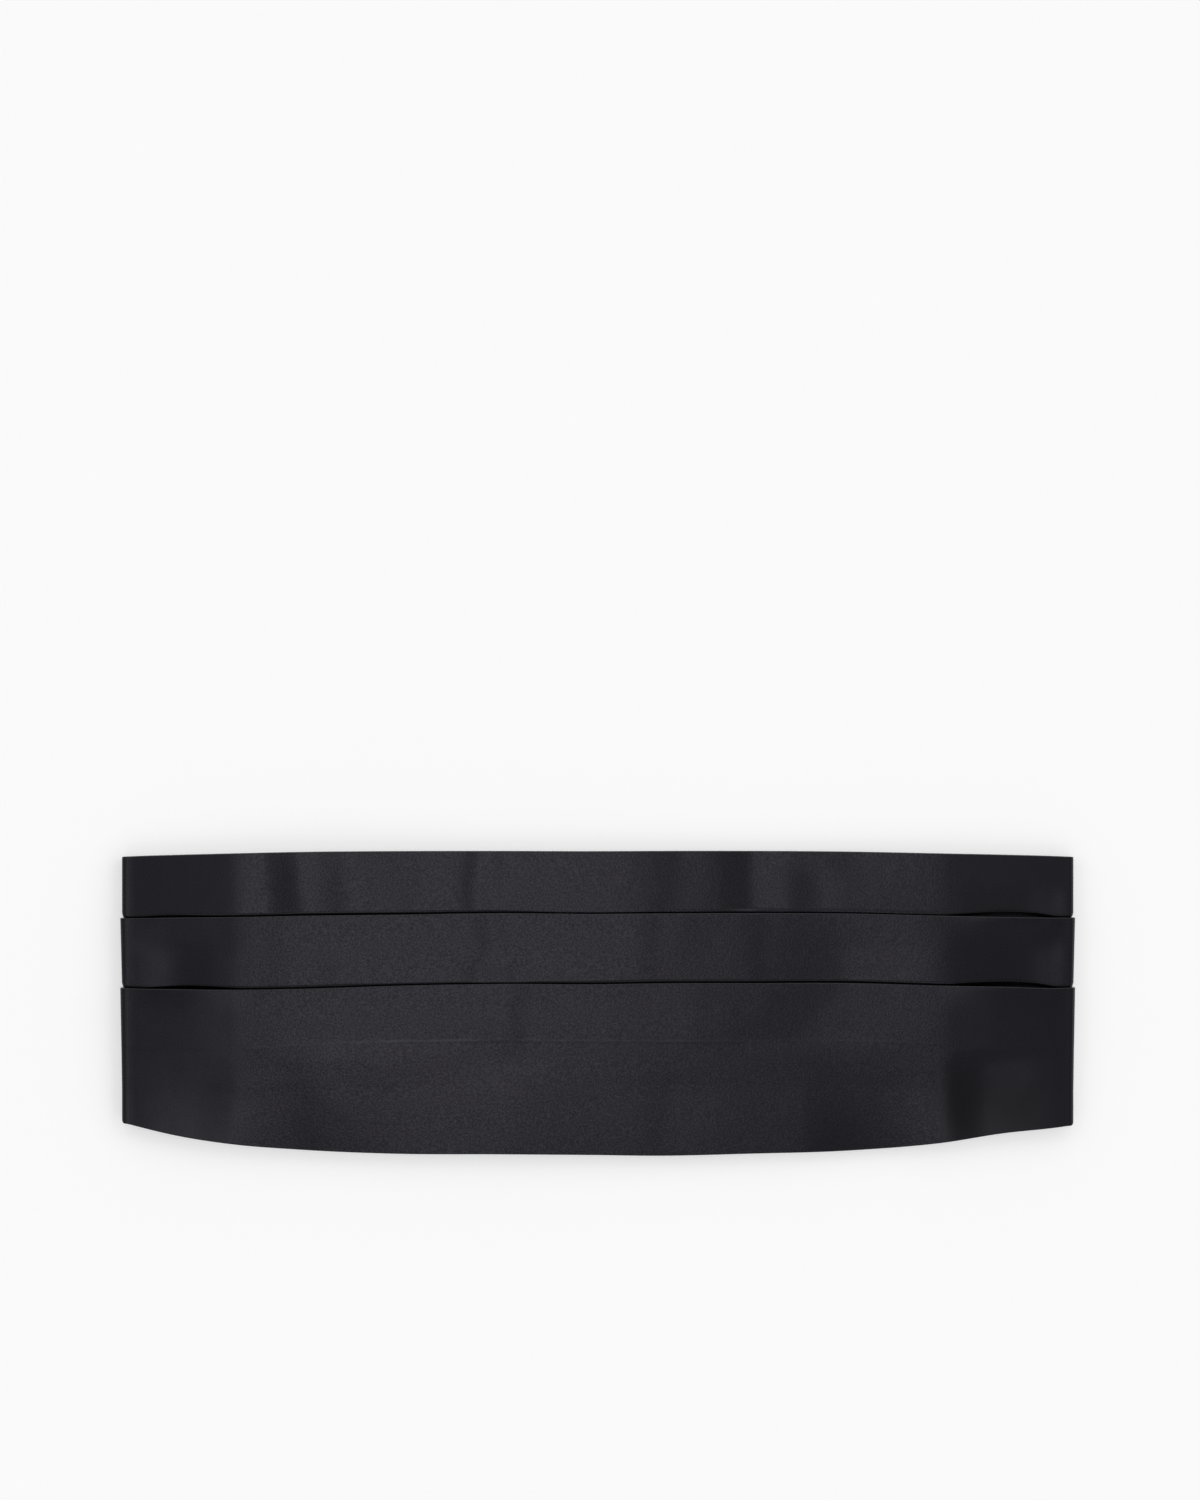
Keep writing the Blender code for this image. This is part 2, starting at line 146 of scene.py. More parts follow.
# Creases: a straight flank up to the crest or down to the trough and one back, with their
# corners rounded by the softness, between two heights up the panel and fading beyond them. Lean
# is how far the crease moves in x for each millimetre up. Each pleat has its own, and the wings.
Crease = namedtuple("Crease", "x left_run right_run height softness low high fade lean")
TOP_CREASES = [
    Crease(-149.0, 45.0, 28.0, 0.50, 2.5, 30.0, 70.0, 4.0, 0.0),
    Crease(-123.5, 14.0, 100.0, 0.94, 2.2, 40.0, 70.0, 9.0, -0.12),
    Crease(-103.5, 13.0, 30.0, 0.56, 2.5, 30.0, 70.0, 4.0, 0.0),
    Crease(-50.0, 6.0, 6.0, -0.42, 2.5, 30.0, 70.0, 4.0, 0.0),
    Crease(-38.5, 6.0, 5.0, -0.26, 2.5, 54.0, 70.0, 12.0, 0.0),
    Crease(63.5, 50.0, 130.0, -0.60, 2.0, 30.0, 70.0, 4.0, 0.0),
    Crease(64.5, 13.0, 16.0, -0.38, 2.5, 40.0, 70.0, 9.0, -0.06),
    Crease(33.0, 10.0, 11.0, -0.14, 2.5, 30.0, 70.0, 4.0, 0.0),
    Crease(91.0, 13.0, 12.0, -0.30, 2.5, 30.0, 50.0, 10.0, 0.0),
    Crease(106.0, 9.0, 30.0, -0.14, 3.0, 30.0, 70.0, 4.0, 0.0),
    Crease(147.0, 47.0, 48.0, -0.25, 2.5, 30.0, 70.0, 4.0, 0.0),
    Crease(179.0, 28.0, 20.0, -0.40, 4.0, 30.0, 44.0, 8.0, 0.0),
]
MIDDLE_CREASES = [
    Crease(-177.0, 14.0, 16.0, -0.50, 4.0, 0.0, 17.0, 10.0, 0.0),
    Crease(-180.0, 14.0, 34.0, -0.26, 3.0, 24.0, 50.0, 6.0, 0.0),
    Crease(-143.0, 10.0, 60.0, 0.09, 4.0, 0.0, 50.0, 4.0, 0.0),
    Crease(-130.0, 9.0, 50.0, 0.14, 3.0, 0.0, 50.0, 4.0, 0.0),
    Crease(-107.0, 9.0, 8.0, 0.22, 3.0, 0.0, 16.0, 9.0, 0.0),
    Crease(-43.5, 8.0, 7.0, -0.34, 2.5, 24.0, 50.0, 11.0, 0.0),
    Crease(-50.0, 7.0, 6.0, -0.34, 2.5, 0.0, 13.0, 9.0, 0.0),
    Crease(-33.0, 6.0, 5.0, -0.24, 2.5, 0.0, 14.0, 8.0, 0.0),
    Crease(16.0, 9.0, 8.0, 0.08, 2.5, 0.0, 50.0, 4.0, 0.0),
    Crease(20.0, 45.0, 100.0, 0.30, 4.0, 0.0, 50.0, 4.0, 0.0),
    Crease(138.0, 110.0, 44.0, 0.40, 4.0, 0.0, 50.0, 4.0, 0.0),
    Crease(34.0, 6.0, 8.0, 0.06, 2.5, 24.0, 50.0, 8.0, 0.0),
    Crease(71.0, 8.0, 5.0, -0.08, 2.5, 0.0, 50.0, 4.0, 0.0),
    Crease(102.0, 37.0, 36.0, -0.62, 4.0, 0.0, 11.0, 22.0, 0.0),
    Crease(100.0, 40.0, 44.0, -0.26, 4.0, 24.0, 50.0, 8.0, 0.0),
    Crease(180.5, 28.0, 16.0, -0.60, 3.5, 0.0, 20.0, 14.0, 0.0),
]
LOWER_CREASES = [
    Crease(-153.0, 14.0, 20.0, -0.20, 5.0, -18.0, 20.0, 6.0, 0.0),
    Crease(-38.0, 12.0, 8.0, 0.28, 2.5, -11.0, 20.0, 15.0, 0.0),
    Crease(40.0, 14.0, 20.0, 0.10, 3.0, -14.0, 20.0, 8.0, 0.0),
    Crease(86.0, 28.0, 50.0, -0.34, 4.0, -12.0, 20.0, 8.0, 0.8),
    Crease(166.0, 20.0, 28.0, 0.20, 4.0, -18.0, 20.0, 6.0, 0.0),
    Crease(-157.0, 14.0, 34.0, 0.34, 4.0, -70.0, -36.0, 12.0, 0.2),
    Crease(-118.0, 32.0, 70.0, 0.78, 4.0, -70.0, -24.0, 12.0, 0.0),
    Crease(-112.0, 12.0, 14.0, 0.14, 4.0, -70.0, -38.0, 10.0, 0.0),
    Crease(-42.0, 30.0, 40.0, 0.62, 6.0, -70.0, -38.0, 16.0, 0.1),
    Crease(30.0, 12.0, 20.0, -0.14, 4.0, -70.0, -38.0, 10.0, 0.0),
    Crease(160.5, 14.0, 31.0, -0.48, 3.0, -70.0, -26.0, 8.0, 0.0),
    Crease(181.0, 10.0, 14.0, 0.10, 3.0, -34.0, -22.0, 6.0, 0.0),
]
WING_CREASES = [
    Crease(-168.0, 9.0, 14.0, 0.35, 4.0, -30.0, 40.0, 14.0, 0.12),
    Crease(-132.0, 16.0, 10.0, 0.45, 4.0, -10.0, 60.0, 12.0, -0.2),
    Crease(-104.0, 8.0, 9.0, 0.30, 3.0, 0.0, 30.0, 10.0, 0.1),
    Crease(98.0, 7.0, 8.0, 0.25, 3.0, 10.0, 60.0, 8.0, 0.0),
    Crease(118.0, 12.0, 12.0, 0.40, 4.0, -12.0, 36.0, 12.0, 0.15),
    Crease(152.0, 10.0, 16.0, 0.45, 4.0, -40.0, 24.0, 14.0, -0.1),
]
WING_CREASES_FROM = (FOLD_START - 16.0, FOLD_START - 6.0)   # where they begin beside the fold
WING_CREASES_TO = (76.0, 86.0)                              # and end beside the strap
CREASES_END = 4.0          # stretch before a side fold over which the front's creases end

# A crease passes into the next pleat's within the opening where that opens it further, and
# over a longer stretch where it would close it
Passing = namedtuple("Passing", "below above")
PASS_OPENING = Passing(0.1, 1.5)
PASS_CLOSING = Passing(1.5, 2.5)

# How far a crease strays sideways, in one long wave up the panel and a smaller, shorter one
WANDER = 0.8
WANDER_PITCH = 9.0
RIPPLE_SHARE = 0.5
RIPPLE_RATE = 2.3

# Stretches where the front sags further, from a height down to the lower hem
Sag = namedtuple("Sag", "x half_width depth below")
SAGS = [
    Sag(-134.0, 66.0, 1.2, -14.0),
    Sag(118.0, 34.0, 1.4, -16.0),
]

# The opening above a pleat's folded edge: the cloth beside the edge dips under it, and where
# the edge gapes it dips deeper and further out, and the edge lifts
Gape = namedtuple("Gape", "x half_width lift dip reach")
UPPER_GAPES = [
    Gape(-178.0, 26.0, 0.15, 0.15, 0.50),
    Gape(50.0, 70.0, 0.04, 0.10, 0.15),
    Gape(173.0, 29.5, 0.90, 0.24, 1.95),
]
LOWER_GAPES = [
    Gape(-169.0, 24.0, 0.50, 0.22, 1.15),
    Gape(86.0, 40.0, 0.05, 0.10, 0.20),
    Gape(172.5, 31.5, 0.90, 0.24, 1.95),
]
EDGE_LIFT = 0.08           # lift of an edge that doesn't gape
LIFT_REACH = 16.0          # how far below the edge the cloth lifts with it
LIFT_FADE_X = 12.0         # stretch before a side fold over which lift and gapes end
DIP = 0.68                 # depth and reach of the dip where nothing gapes
DIP_REACH = 0.56
DIP_CURVE = 1.5            # 1 would be a straight slope into the opening
DIP_FLOOR = 0.05           # how far from the edge the dip is at its deepest
DIP_PLACES = np.array([1.08, 1.0, 0.92, 0.8, 0.62, 0.4, 0.15])   # as shares of its reach
# Painted shade in and above an opening
SHADE_FROM = 0.8           # the shade in an opening, as shares of the dip's reach
SHADE_TO = 1.5

# The round nose of a folded edge, with shade painted on its lower side
NOSE_SQUASH = 0.15         # its depth over half its height
NOSE_POINTS = 7
NOSE_CORNER = np.array([0.03, 0.12])   # how far behind it the next points lie
NOSE_SHADE = (1.0, 0.2)    # from its lower side to its upper one

# The hidden underlap: one layer goes down from the opening and one comes back to the folded
# edge. Their points, and where they sink and rise, lie at shares of its depth.
LINING_GAP = 0.1
LAYERS_GAP = 0.14
EDGE_GAP = 0.12            # between a folded edge and the cloth that it lies on
DOWN_PLACES = np.array([0.0, 0.02, 0.08, 0.18, 0.30, 0.6, 0.95])
DOWN_SINKS = (0.02, 0.25)
BACK_PLACES = np.array([0.95, 0.6, 0.42, 0.28, 0.16, 0.08])
BACK_RISES = (0.45, 0.06)
TURN_INSET = 0.3
TURN_POINTS = 3

# The hidden underlap's end prints through the lower pleat as a small step, along which a
# highlight is painted into the satin's colour, stronger in some places than in others
IMPRINT_TOP = 2.82         # heights of the face at the step
IMPRINT_FOOT = 2.74
IMPRINT_WIDTH = 1.5
IMPRINT_EASE = 18.0        # how far below the step the face comes down to a single layer's
HighlightStop = namedtuple("HighlightStop", "x shine")
IMPRINT_HIGHLIGHTS = [
    HighlightStop(-158.0, 0.0), HighlightStop(-140.0, 0.22), HighlightStop(-118.0, 0.15), HighlightStop(-108.0, 0.28),
    HighlightStop(-91.0, 0.6), HighlightStop(-83.0, 0.95), HighlightStop(-74.0, 0.65), HighlightStop(-66.0, 0.65),
    HighlightStop(-58.0, 0.9), HighlightStop(-50.0, 0.6), HighlightStop(-41.0, 0.28), HighlightStop(-33.0, 0.28),
    HighlightStop(-24.0, 0.45), HighlightStop(-7.0, 0.5), HighlightStop(9.0, 0.32), HighlightStop(26.0, 0.4),
    HighlightStop(40.0, 0.34), HighlightStop(55.0, 0.2), HighlightStop(76.0, 0.06), HighlightStop(93.0, 0.16),
    HighlightStop(118.0, 0.25), HighlightStop(140.0, 0.15), HighlightStop(150.0, 0.0),
]
HIGHLIGHT_HALF_WIDTH = 0.7

# Patches of the front where shade is painted into the satin's colour
Patch = namedtuple("Patch", "x y half_width half_height dullness")
SHADE_PATCHES = [
    Patch(149.0, -44.0, 17.0, 28.0, 0.6),
    Patch(173.0, -46.0, 21.0, 24.0, 0.6),
    Patch(-129.0, 52.0, 7.0, 22.0, 0.4),
    Patch(-112.0, -44.0, 42.0, 20.0, 0.3),
]

# Stretch at each side of the front over which the grain goes down, and what is left of it
GRAIN_FADE = (138.0, 160.0)
GRAIN_AT_ENDS = 0.18

# The hems, turned under against the lining
HEM_TURNING = 9.0
HEM_TURNING_POINTS = 4
HEM_GAP = 0.05
HEM_SQUASH = 0.16          # depth of the hem's round edge over half its height
HEM_POINTS = 8
HEM_CORNER = np.array([0.04, 0.15, 0.45])   # how far behind it the next points lie

# Points across the satin: how many each run has, and where the runs meet
TOP_RUNS = (12, 5)
MIDDLE_RUNS = (4, 13, 5)
LOWER_RUNS = (4, 10, 12, 17)
HEM_MARGIN = 1.5
RIM_MARGIN = 0.4
ABOVE_RIM = 2.0
BELOW_EDGE = 0.6
FURTHER_BELOW_EDGE = 4.0
ABOVE_IMPRINT = 1.5
BELOW_IMPRINT = 1.0

# Steps between stations along the panel, smaller where the front is sharply creased
Steps = namedtuple("Steps", "front sharp wing")
SATIN_STEPS = Steps(2.4, 1.1, 5.0)
LINING_STEPS = Steps(5.0, 3.0, 6.0)
SHARP_PLACES = [-152.0, -139.0, -127.0, 47.0, 62.0, 146.0]
SHARP_REACH = 5.0          # to both sides of a sharp place

LINING_INSET = 1.5         # between a hem and the lining's edge
LINING_POINTS = 46


# ---------------------------------------------------------------------- the panel's form

def smooth_step(value, start, end):
    """0 up to the start and 1 from the end on, with a soft rise between them."""
    share = np.clip((value - start) / (end - start), 0.0, 1.0)
    return share * share * (3.0 - 2.0 * share)


def bump(distance, half_width):
    """1 at no distance, going out softly to 0 at the half width."""
    share = np.clip(np.abs(distance) / half_width, 0.0, 1.0)
    return (1.0 - share * share) ** 2


def soft_ramp(distance, softness):
    """0 below zero and rising by one for one above it, with a rounded corner."""
    return 0.5 * (distance + np.sqrt(distance * distance + softness * softness))


def curve_through(column, along):
    """A smooth curve through one column of the panel's lines."""
    places = np.array([row.along for row in PANEL_LINES])
    values = np.array([getattr(row, column) for row in PANEL_LINES])
    slopes = np.gradient(values, places)
    index = np.clip(np.searchsorted(places, along) - 1, 0, len(places) - 2)
    span = places[index + 1] - places[index]
    share = (along - places[index]) / span
    square = share * share
    cube = square * share
    return ((2 * cube - 3 * square + 1) * values[index]
            + (cube - 2 * square + share) * span * slopes[index]
            + (3 * square - 2 * cube) * values[index + 1]
            + (cube - square) * span * slopes[index + 1])


def corner_rounding(along):
    """How far the lower hem rises round a side fold, which rounds the corner off."""
    share = (abs(along) - FOLD_START) / FOLD_LENGTH
    rising = smooth_step(share, *CORNER_FROM) * (1.0 - smooth_step(share, *CORNER_TO))
    return CORNER_ROUND * float(rising)


def panel_lines(along):
    """The hems and folded edges at one place along the panel."""
    lines = Line(along, *(float(curve_through(column, along)) for column in Line._fields[1:]))
    return lines._replace(bottom_hem=lines.bottom_hem + corner_rounding(along))


def narrowing(lines):
    """Share of their full height that the pleats have, less than 1 towards a wing's end."""
    return min((lines.upper_fold - lines.lower_fold) / PLEAT_HEIGHT, 1.0)


def underlap(lines):
    """How far the hidden cloth reaches under a pleat at one place along the panel."""
    depth = np.interp(lines.along, [row.x for row in UNDERLAPS], [row.depth for row in UNDERLAPS])
    return float(depth) * narrowing(lines)


def front_rise(x):
    """Height of the front's inner face."""
    rows = FRONT_RISE
    slopes = [(b.height - a.height) / (b.x - a.x) for a, b in zip(rows, rows[1:])]
    height = rows[0].height + slopes[0] * (x - rows[0].x)
    for row, before, after in zip(rows[1:-1], slopes, slopes[1:]):
        height = height + (after - before) * soft_ramp(x - row.x, row.softness)
    return height


def droop(x, y):
    """How far the cloth hangs below the middle of the front, at both hems."""
    below = np.maximum(BOTTOM_DROOP_FROM - y, 0.0) / BOTTOM_DROOP_REACH
    above = np.maximum(y - TOP_DROOP_FROM, 0.0) / TOP_DROOP_REACH
    ends = smooth_step(x, *BOTTOM_DROOP_RIGHT) + smooth_step(-x, *BOTTOM_DROOP_LEFT)
    bottom = BOTTOM_DROOP * below ** DROOP_CURVE * (1.0 - ends)
    top = TOP_DROOP * above ** DROOP_CURVE * (1.0 - smooth_step(np.abs(x), *TOP_DROOP_ENDS))
    sagging = sum(sag.depth * bump(x - sag.x, sag.half_width)
                  * (np.maximum(sag.below - y, 0.0) / BOTTOM_DROOP_REACH) ** DROOP_CURVE
                  for sag in SAGS)
    return bottom + top + sagging


def crease_profile(across, crease):
    """Height of a crease straight across it."""
    up = crease.height / crease.left_run
    down = crease.height / crease.right_run
    soft = crease.softness
    return (up * soft_ramp(across + crease.left_run, soft)
            - (up + down) * soft_ramp(across, soft)
            + down * soft_ramp(across - crease.right_run, soft))


def wander(crease, y):
    """How far a crease has strayed sideways at one height up the panel."""
    phase = y / WANDER_PITCH + crease.x
    return WANDER * (np.sin(phase) + RIPPLE_SHARE * np.sin(RIPPLE_RATE * phase))


def crease_height(crease, x, y):
    """Height that one crease adds."""
    across = x - crease.x - crease.lean * (y - crease.low) - wander(crease, y)
    above = smooth_step(y, crease.low - crease.fade, crease.low)
    below = 1.0 - smooth_step(y, crease.high, crease.high + crease.fade)
    return crease_profile(across, crease) * above * below


def past_edge(y, edge, opens):
    """0 below a pleat's folded edge and 1 above it."""
    passing = PASS_OPENING if opens else PASS_CLOSING
    return smooth_step(y, edge - passing.below, edge + passing.above)


def creases(x, y):
    """Height that the creases add, the same for every layer of cloth at one place."""
    upper = curve_through("upper_fold", x)
    lower = curve_through("lower_fold", x)
    height = np.zeros_like(x)
    for crease in TOP_CREASES:
        height += crease_height(crease, x, y) * past_edge(y, upper, crease.height > 0.0)
    for crease in MIDDLE_CREASES:
        height += (crease_height(crease, x, y) * past_edge(y, lower, crease.height > 0.0)
                   * (1.0 - past_edge(y, upper, crease.height < 0.0)))
    for crease in LOWER_CREASES:
        height += crease_height(crease, x, y) * (1.0 - past_edge(y, lower, crease.height < 0.0))
    return height * (1.0 - smooth_step(np.abs(x), FOLD_START - CREASES_END, FOLD_START))


def wing_creases(x, y):
    """How far a wing's creases lift it off the surface."""
    height = sum(crease_height(crease, x, y) for crease in WING_CREASES)
    ends = smooth_step(np.abs(x), *WING_CREASES_TO)
    return height * ends * (1.0 - smooth_step(np.abs(x), *WING_CREASES_FROM))


def side_fade(x):
    """1 across the front, going out towards both side folds."""
    return 1.0 - smooth_step(np.abs(x), FOLD_START - LIFT_FADE_X, FOLD_START)


class Opening:
    """The opening above one pleat's folded edge, at one place along the panel."""

    def __init__(self, lines, gapes):
        fade = float(side_fade(lines.along))
        shares = [fade * float(bump(lines.along - gape.x, gape.half_width)) for gape in gapes]
        pairs = list(zip(shares, gapes))
        self.lift = fade * EDGE_LIFT + sum(share * gape.lift for share, gape in pairs)
        self.depth = DIP + sum(share * gape.dip for share, gape in pairs)
        self.reach = DIP_REACH + sum(share * gape.reach for share, gape in pairs)
        self.lift_reach = LIFT_REACH * narrowing(lines)

    def dip(self, above_fold):
        """How deep the cloth beside the edge lies below its own face."""
        share = (above_fold - DIP_FLOOR) / (self.reach - DIP_FLOOR)
        return self.depth * (1.0 - np.clip(share, 0.0, 1.0) ** DIP_CURVE)

    def places(self, fold):
        """Points down the dip, from its rim nearly to the folded edge."""
        return fold + DIP_FLOOR + (self.reach - DIP_FLOOR) * DIP_PLACES

    def raised(self, below_fold):
        """How far the pleat lifts below its folded edge."""
        share = np.clip(1.0 - below_fold / self.lift_reach, 0.0, 1.0)
        return self.lift * share ** 2

    def shade(self, above_fold):
        """How much shade is painted into the opening and its rim."""
        return 1.0 - smooth_step(above_fold, SHADE_FROM * self.reach, SHADE_TO * self.reach)


def middle_face(lines, y):
    """Outer face of the middle pleat, which eases down to the cloth below its underlap."""
    share = (y - lines.lower_fold) / (lines.upper_fold - lines.lower_fold)
    return SINGLE_TOP + PLEAT_STEP * np.clip(share, 0.0, 1.0)


def lower_face(lines, y):
    """Outer face of the lower pleat, with the small step where the underlap ends."""
    scale = narrowing(lines)
    end = lines.lower_fold - underlap(lines)
    foot = end - IMPRINT_WIDTH * scale
    places = [foot - IMPRINT_EASE * scale, foot, end, lines.lower_fold]
    return np.interp(y, places, [SINGLE_TOP, IMPRINT_FOOT, IMPRINT_TOP, DOUBLE_TOP])


def face_height(lines, y):
    """Outer face of the whole stack of layers, from hem to hem."""
    upper_ramp = np.clip((lines.upper_fold + STEP_RAMP - y) / STEP_RAMP, 0.0, 1.0)
    lower_ramp = np.clip((lines.lower_fold + STEP_RAMP - y) / STEP_RAMP, 0.0, 1.0)
    top = SINGLE_TOP + PLEAT_STEP * upper_ramp
    middle = middle_face(lines, y) + PLEAT_STEP * lower_ramp * (y > lines.lower_fold)
    return np.where(y > lines.upper_fold, top,
                    np.where(y > lines.lower_fold, np.minimum(middle, DOUBLE_TOP),
                             lower_face(lines, y)))


def place(along, y, height):
    """Points of the folded panel, at heights above the lining's inner face."""
    if abs(along) <= FOLD_START:
        x = np.full_like(y, along)
        rise = front_rise(x) - droop(x, y) + creases(x, y)
        return np.stack([x, y, rise + height], axis=1)
    side = math.copysign(1.0, along)
    past_front = abs(along) - FOLD_START
    thickness = face_height(panel_lines(along), y)
    if past_front >= FOLD_LENGTH:
        x = np.full_like(y, side * (FOLD_START - (past_front - FOLD_LENGTH)))
        return np.stack([x, y, thickness - height + wing_creases(x, y)], axis=1)
    turn = math.pi * past_front / FOLD_LENGTH
    across = math.sin(turn)
    up = math.cos(turn)
    squareness = (across ** FOLD_SQUARENESS + abs(up) ** FOLD_SQUARENESS) ** (-1 / FOLD_SQUARENESS)
    reach = ((FOLD_INNER_HEIGHT - thickness) / 2 + height) * squareness
    middle = (FOLD_INNER_HEIGHT + thickness) / 2
    return np.stack([side * (FOLD_START + reach * across), y, middle + reach * up], axis=1)


def front_stations(steps):
    """Places across the front, closer together where it is sharply creased."""
    front = [-FOLD_START]
    while front[-1] < FOLD_START:
        near = min(abs(front[-1] - x) for x in SHARP_PLACES) < SHARP_REACH
        front.append(front[-1] + (steps.sharp if near else steps.front))
    front = np.array(front)
    return -FOLD_START + (front + FOLD_START) * (2 * FOLD_START) / (front[-1] + FOLD_START)


def panel_stations(steps):
    """Places along the panel, from the left wing's end to the right wing's end."""
    fold_end = FOLD_START + FOLD_LENGTH
    fold = FOLD_START + FOLD_LENGTH * np.array(FOLD_PLACES)
    wing = np.linspace(fold_end, WING_END, round((WING_END - fold_end) / steps.wing))[1:]
    tail = np.concatenate([fold, wing])
    return np.concatenate([-tail[::-1], front_stations(steps), tail])


# ------------------------------------------------------------------------- meshes and grids

def add_object(name, data):
    added = bpy.data.objects.new(name, data)
    bpy.context.scene.collection.objects.link(added)
    return added


def rim_faces(first, second, offset, flip):
    """Faces from the outer to the inner grid, along two rows of neighbouring points."""
    quads = np.stack([first, second, second + offset, first + offset], axis=1)
    return quads[:, ::-1] if flip else quads


def strip_mesh(name, outer, inner):
    """A closed shell between two grids of points, both (stations, path points, 3)."""
    stations, count = outer.shape[:2]
    points = np.concatenate([outer.reshape(-1, 3), inner.reshape(-1, 3)]) * METRES
    offset = stations * count
    i, j = np.meshgrid(np.arange(stations - 1), np.arange(count - 1), indexing="ij")
    first = (i * count + j).ravel()
    quads = np.stack([first, first + 1, first + count + 1, first + count], axis=1)
    faces = [quads, quads[:, ::-1] + offset]
    along = np.arange(stations - 1) * count
    for start, flip in ((0, False), (count - 1, True)):
        faces.append(rim_faces(along + start, along + start + count, offset, flip))
    across = np.arange(count - 1)
    for start, flip in ((0, True), ((stations - 1) * count, False)):
        faces.append(rim_faces(across + start, across + start + 1, offset, flip))
    mesh = bpy.data.meshes.new(name)
    mesh.from_pydata(points.tolist(), [], np.concatenate(faces).tolist())
    shape = bmesh.new()
    shape.from_mesh(mesh)
    bmesh.ops.recalc_face_normals(shape, faces=shape.faces)
    shape.to_mesh(mesh)
    shape.free()
    mesh.shade_smooth()
    return add_object(name, mesh)


def run(start, end, count):
    """Places from start up to, but not including, end."""
    return np.linspace(start, end, count, endpoint=False)


def runs(stops, counts):
    """Places from stop to stop, so many in each run, without the last stop."""
    return np.concatenate([run(start, end, count)
                           for start, end, count in zip(stops, stops[1:], counts)])


def half_turn(y, low, high, sign, count, squash=1.0):
    """Half an ellipse between two heights, bulging towards +Y for sign 1."""
    turns = np.linspace(-math.pi / 2, math.pi / 2, count + 2)[1:-1]
    if low > high:
        turns = -turns
    middle = (low + high) / 2
    radius = abs(high - low) / 2
    return y + sign * squash * radius * np.cos(turns), middle + radius * np.sin(turns)


class Path:
    """Points along one layer of cloth, across the panel."""

    def __init__(self):
        self.y = []
        self.height = []
        self.shade = []

    def add(self, y, height, shade=0.0):
        self.y.append(y)
        self.height.append(np.broadcast_to(height, y.shape))
        self.shade.append(np.broadcast_to(shade, y.shape))

    def arrays(self):
        return tuple(np.concatenate(rows) for rows in (self.y, self.height, self.shade))


def add_pleat_fold(path, edge, end, opening):
    """The hidden underlap below a pleat and the folded edge that covers it."""
    half = LAYER / 2
    low = LINING_THICKNESS + LINING_GAP + half
    high = low + LAYER + LAYERS_GAP
    depth = edge - end
    sunk = smooth_step(DOWN_PLACES, *DOWN_SINKS)
    bottom = SINGLE_TOP - half - opening.depth
    # The underlap and the nose's lower side get painted shade
    path.add(edge - depth * DOWN_PLACES, bottom * (1 - sunk) + low * sunk, 1.0)
    path.add(*half_turn(end + TURN_INSET, low, high, -1, TURN_POINTS), 1.0)
    edge_low = SINGLE_TOP + half + EDGE_GAP + opening.lift
    risen = smooth_step(BACK_PLACES, *BACK_RISES)
    path.add(edge - depth * BACK_PLACES, high * (1 - risen) + edge_low * risen, 1.0)
    nose_y = edge - half * (1.0 + NOSE_SQUASH)
    edge_high = DOUBLE_TOP - half + opening.raised(edge - nose_y)
    turn_y, turn_height = half_turn(nose_y, edge_low, edge_high, 1, NOSE_POINTS, NOSE_SQUASH)
    path.add(turn_y, turn_height, np.linspace(*NOSE_SHADE, NOSE_POINTS))
    corner_y = nose_y - NOSE_CORNER
    path.add(corner_y, DOUBLE_TOP - half + opening.raised(edge - corner_y))


def satin_path(lines):
    """The satin from the top hem's turning, through both pleats, to the bottom hem's turning."""
    half = LAYER / 2
    scale = narrowing(lines)
    upper = Opening(lines, UPPER_GAPES)
    lower = Opening(lines, LOWER_GAPES)
    upper_edge, lower_edge = lines.upper_fold, lines.lower_fold
    upper_end, lower_end = upper_edge - underlap(lines), lower_edge - underlap(lines)
    under = -half - HEM_GAP
    radius = (SINGLE_TOP - half - under) / 2
    path = Path()

    hem = lines.top_hem - half - radius * HEM_SQUASH
    path.add(run(hem - HEM_TURNING * scale, hem, HEM_TURNING_POINTS), under)
    path.add(*half_turn(hem, under, SINGLE_TOP - half, 1, HEM_POINTS, HEM_SQUASH))
    rim = upper_edge + upper.reach + RIM_MARGIN
    y = np.concatenate([[hem], hem - HEM_CORNER,
                        runs((hem - HEM_MARGIN, rim + ABOVE_RIM, rim), TOP_RUNS),
                        upper.places(upper_edge)])
    above = y - upper_edge
    path.add(y, SINGLE_TOP - half - upper.dip(above), upper.shade(above))
    add_pleat_fold(path, upper_edge, upper_end, upper)

    rim = lower_edge + lower.reach + RIM_MARGIN
    stops = (upper_edge - BELOW_EDGE, upper_edge - FURTHER_BELOW_EDGE * scale, rim + ABOVE_RIM, rim)
    y = np.concatenate([runs(stops, MIDDLE_RUNS), lower.places(lower_edge)])
    height = middle_face(lines, y) - half + upper.raised(upper_edge - y)
    above = y - lower_edge
    path.add(y, height - lower.dip(above), lower.shade(above))
    add_pleat_fold(path, lower_edge, lower_end, lower)

    foot = lower_end - IMPRINT_WIDTH * scale
    hem = lines.bottom_hem + half + radius * HEM_SQUASH
    stops = (lower_edge - BELOW_EDGE, lower_edge - FURTHER_BELOW_EDGE * scale,
             lower_end + ABOVE_IMPRINT * scale, foot - BELOW_IMPRINT * scale, hem + HEM_MARGIN)
    y = np.concatenate([runs(stops, LOWER_RUNS), hem + HEM_CORNER[::-1], [hem]])
    path.add(y, lower_face(lines, y) - half + lower.raised(lower_edge - y))
    path.add(*half_turn(hem, SINGLE_TOP - half, under, -1, HEM_POINTS, HEM_SQUASH))
    path.add(run(hem, hem + HEM_TURNING * scale, HEM_TURNING_POINTS), under)
    return path


def offset_sides(y, height, thickness):
    """Both faces of a layer whose middle runs through the points."""
    along_y = np.gradient(y)
    along_z = np.gradient(height)
    length = np.hypot(along_y, along_z)
    out_y = along_z / length * thickness / 2
    out_z = -along_y / length * thickness / 2
    return (y + out_y, height + out_z), (y - out_y, height - out_z)


